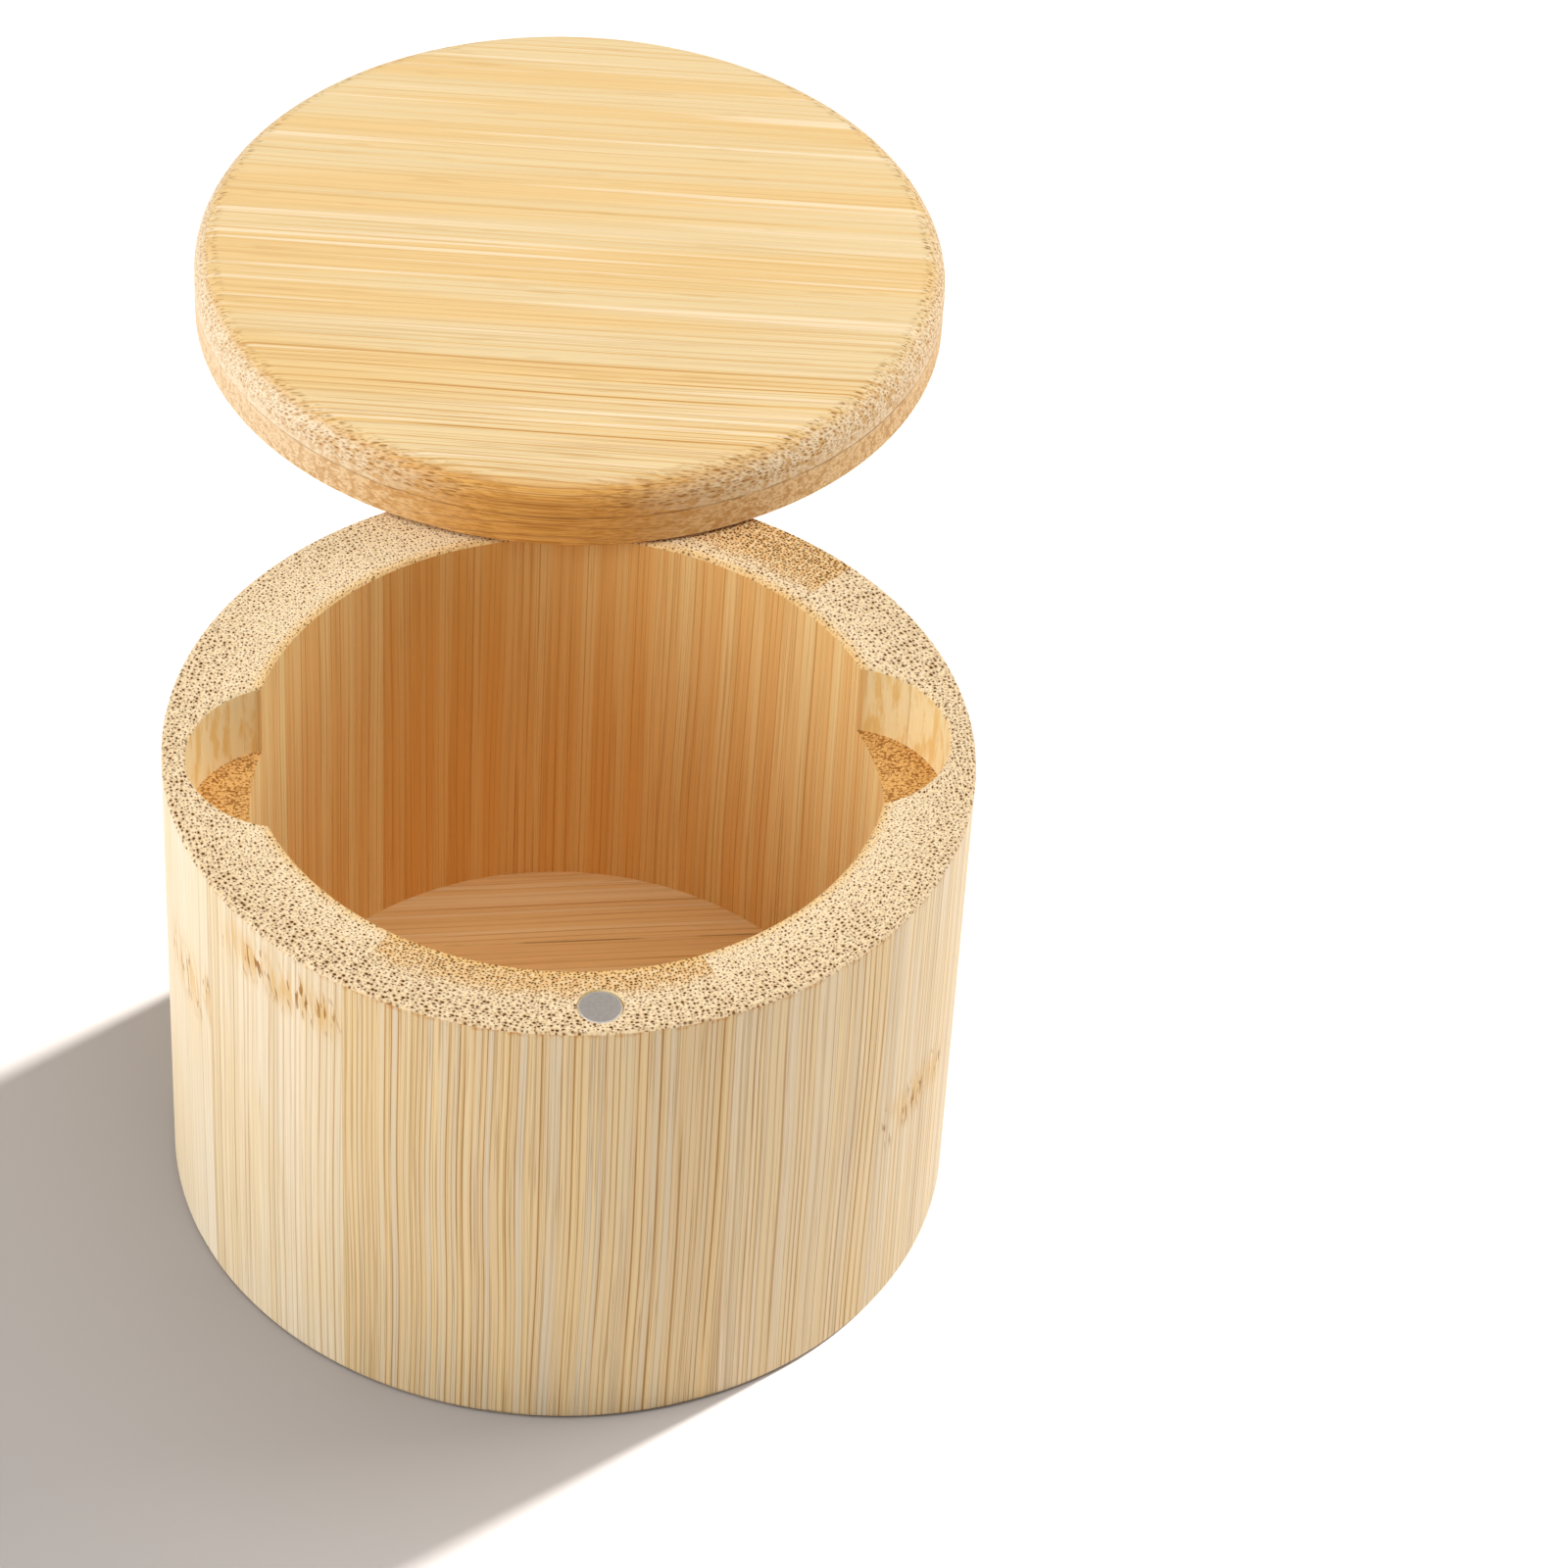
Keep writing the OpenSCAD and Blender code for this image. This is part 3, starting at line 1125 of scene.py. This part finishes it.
@dataclass
class MagnetCatch:
    """The two plated disc magnets that hold the lid over the front of the rim."""

    workshop: Workshop
    look: MetalLook = MetalLook(srgb("958E87"), srgb("E8E3DE"), 0.75, 0.34, 0.55)
    rim_width: float = 0.35

    def dress(self) -> None:
        """Give both magnets their materials."""
        for node in ("rim_magnet", "lid_magnet"):
            low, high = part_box(node)
            finish = Finish(f"nickel_{node}", centre=(low + high) / 2)
            g = finish.g
            wear = self.workshop.wear.place(g, {"Vector": finish.strip, "Length": 1.6})
            edge = (high.x - low.x) / 2 * MM_PER_M
            radius = finish.radius(finish.through, finish.across)
            rubbed = g.ramp(radius, edge - self.rim_width, edge - 0.05)
            finish.cover(1.0, self.look.plate)
            finish.cover(g.product(wear["Spots"], 0.06), self.look.worn)
            finish.cover(g.product(rubbed, g.scale(wear["Scuffs"], 1.0, 0.6)), self.look.worn)
            roughness = g.scale(wear["Scuffs"], self.look.smooth, self.look.rough)
            finish.shader.inputs["Metallic"].default_value = self.look.metallic
            height = g.product(wear["Scuffs"], -0.5)
            dress(node, finish.seal(roughness, height, depth=0.00002, specular=0.5))


@dataclass
class PivotPin:
    """The turned steel pin that the lid swivels on."""

    workshop: Workshop
    look: MetalLook = MetalLook(srgb("9A9C9F"), srgb("C9CBCD"), 0.9, 0.26, 0.48)
    node: str = "pivot_pin"

    def dress(self) -> None:
        """Give the pin its material, with fine rings from the lathe."""
        low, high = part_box(self.node)
        finish = Finish("steel_pivot_pin", centre=(low + high) / 2)
        g = finish.g
        rings = g.noise(finish.strip, (0.15, 0.15, 11.0), detail=2.0)
        wear = self.workshop.wear.place(g, {"Vector": finish.strip, "Length": 1.0})
        finish.cover(1.0, self.look.plate)
        finish.cover(g.ramp(rings, 0.42, 0.62), self.look.worn)
        finish.cover(g.product(wear["Spots"], 0.3), self.look.plate)
        finish.shader.inputs["Metallic"].default_value = self.look.metallic
        roughness = g.scale(wear["Scuffs"], self.look.smooth, self.look.rough)
        dress(self.node, finish.seal(roughness, rings, depth=0.00003, specular=0.5))


@dataclass(frozen=True)
class Softbox:
    """One soft square lamp, aimed at the box."""

    name: str
    place: tuple[float, float, float]
    size: float
    watts: float

    def build(self) -> None:
        """Hang the lamp."""
        data = bpy.data.lights.new(f"{self.name}_softbox", "AREA")
        data.size = self.size
        data.energy = self.watts
        lamp = bpy.data.objects.new(data.name, data)
        lamp.location = self.place
        lamp.rotation_euler = (-Vector(self.place)).to_track_quat("-Z", "Y").to_euler()
        bpy.context.scene.collection.objects.link(lamp)
        LOG.info("%s hangs at %s", data.name, self.place)


@dataclass
class Studio:
    """A white table under soft light from three sides."""

    floor_size: float = 8.0
    floor_colour: Rgba = srgb("AEA8A4")
    floor_bounce: Rgba = srgb("98928E")
    fill: float = 0.32
    lamps: tuple[Softbox, ...] = (
        Softbox("overhead", (0.15, -0.1, 1.2), 1.0, 6.2),
        Softbox("left", (-1.1, -0.25, 0.45), 0.9, 10.1),
        Softbox("right", (1.0, 0.35, 0.6), 0.7, 6.8),
    )
    table_lamp_power: float = 12.5
    table_lamp_angle: float = 4.0
    table_lamp_azimuth: float = 31.5
    table_lamp_elevation: float = 30.0

    def build(self) -> None:
        """Lay the floor, hang the lamps and set the world."""
        floor = self.floor()
        self.world()
        for lamp in self.lamps:
            lamp.build()
        self.table_lamp(floor)
        bpy.context.scene.view_settings.view_transform = "Standard"

    def seen(self, g: Graph) -> Socket:
        """Tell what the camera sees from what only lights the box.

        Args:
            g: The graph of the floor's material or of the world.

        Returns:
            1 for what is seen, directly or mirrored in metal, and 0 for soft light.
        """
        rays = g.node("ShaderNodeLightPath").outputs
        mirrored = g.math("MAXIMUM", rays["Is Glossy Ray"], rays["Is Transmission Ray"])
        return g.math("MAXIMUM", rays["Is Camera Ray"], mirrored)

    def floor(self) -> bpy.types.Object:
        """Lay the plain pale floor.

        Returns:
            The floor.
        """
        bpy.ops.object.select_all(action="DESELECT")
        bpy.ops.mesh.primitive_plane_add(size=self.floor_size)
        floor = bpy.context.object
        floor.name = "floor"
        material = bpy.data.materials.new("white_table")
        material.use_nodes = True
        g = Graph(material.node_tree)
        shader = material.node_tree.nodes["Principled BSDF"]
        seen = self.seen(g)
        g.feed(shader.inputs["Base Color"], g.mix(seen, self.floor_bounce, self.floor_colour))
        shader.inputs["Roughness"].default_value = 0.9
        shader.inputs["Specular IOR Level"].default_value = 0.0
        floor.data.materials.append(material)
        LOG.info("floor is finished in %s", material.name)
        return floor

    def world(self) -> None:
        """Set the soft fill from all round, which the camera sees as white."""
        world = bpy.data.worlds.new("white_room")
        world.use_nodes = True
        world.node_tree.nodes.clear()
        g = Graph(world.node_tree)
        strength = g.scale(self.seen(g), self.fill, 1.0)
        background = g.node(
            "ShaderNodeBackground", {"Color": (1.0, 1.0, 1.0, 1.0), "Strength": strength}
        )
        g.node("ShaderNodeOutputWorld", {"Surface": background.outputs[0]})
        bpy.context.scene.world = world

    def table_lamp(self, floor: bpy.types.Object) -> None:
        """Add the lamp that throws the body's shadow over the table and lights nothing else.

        Args:
            floor: The only thing that the lamp lights.
        """
        data = bpy.data.lights.new("table_lamp", "SUN")
        data.energy = self.table_lamp_power
        data.angle = math.radians(self.table_lamp_angle)
        lamp = bpy.data.objects.new(data.name, data)
        rise = math.radians(self.table_lamp_elevation)
        turn = Euler((math.pi / 2 - rise, 0.0, math.pi / 2 + math.radians(self.table_lamp_azimuth)))
        lamp.rotation_euler = turn
        bpy.context.scene.collection.objects.link(lamp)
        lit = bpy.data.collections.new("lit_by_table_lamp")
        lit.objects.link(floor)
        lamp.light_linking.receiver_collection = lit
        shading = bpy.data.collections.new("shades_table_lamp")
        for name, piece in frame["nodes"].items():
            if not name.startswith("lid_"):
                shading.objects.link(piece)
        lamp.light_linking.blocker_collection = shading
        LOG.info("table_lamp lights %s only", floor.name)


@dataclass
class ProductCamera:
    """The camera, looking down at the box from the front."""

    lens: float = 130.0
    distance: float = 0.6287
    elevation: float = 42.62
    azimuth: float = -8.5
    roll: float = 3.7
    target: Vector = field(default_factory=lambda: Vector((0.02360, -0.00353, 0.05742)))

    def build(self) -> None:
        """Make the camera and give it to the scene."""
        a, e, r = (math.radians(v) for v in (self.azimuth, self.elevation, self.roll))
        back = Vector((math.sin(a) * math.cos(e), -math.cos(a) * math.cos(e), math.sin(e)))
        right = (-back).cross(Vector((0, 0, 1))).normalized()
        up = right.cross(-back)
        turned_right = right * math.cos(r) + up * math.sin(r)
        turned_up = up * math.cos(r) - right * math.sin(r)
        data = bpy.data.cameras.new("camera")
        data.lens = self.lens
        data.sensor_width = 36.0
        data.clip_start = 0.01
        data.clip_end = 20.0
        camera = bpy.data.objects.new("camera", data)
        turn = Matrix((turned_right, turned_up, back)).transposed()
        camera.matrix_world = Matrix.Translation(self.target + back * self.distance) @ turn.to_4x4()
        bpy.context.scene.collection.objects.link(camera)
        bpy.context.scene.camera = camera
        LOG.info("camera has a %.0f mm lens", data.lens)


def main() -> None:
    """Dress the pieces, then build the studio and the camera."""
    logging.basicConfig(level=logging.INFO, format="%(name)s: %(message)s")
    bpy.ops.object.select_all(action="DESELECT")
    workshop = Workshop()
    for assembly in (WallRing, BaseDisc, SwivelLid, MagnetCatch, PivotPin):
        assembly(workshop).dress()
    Studio().build()
    ProductCamera().build()


if __name__ == "__main__":
    main()
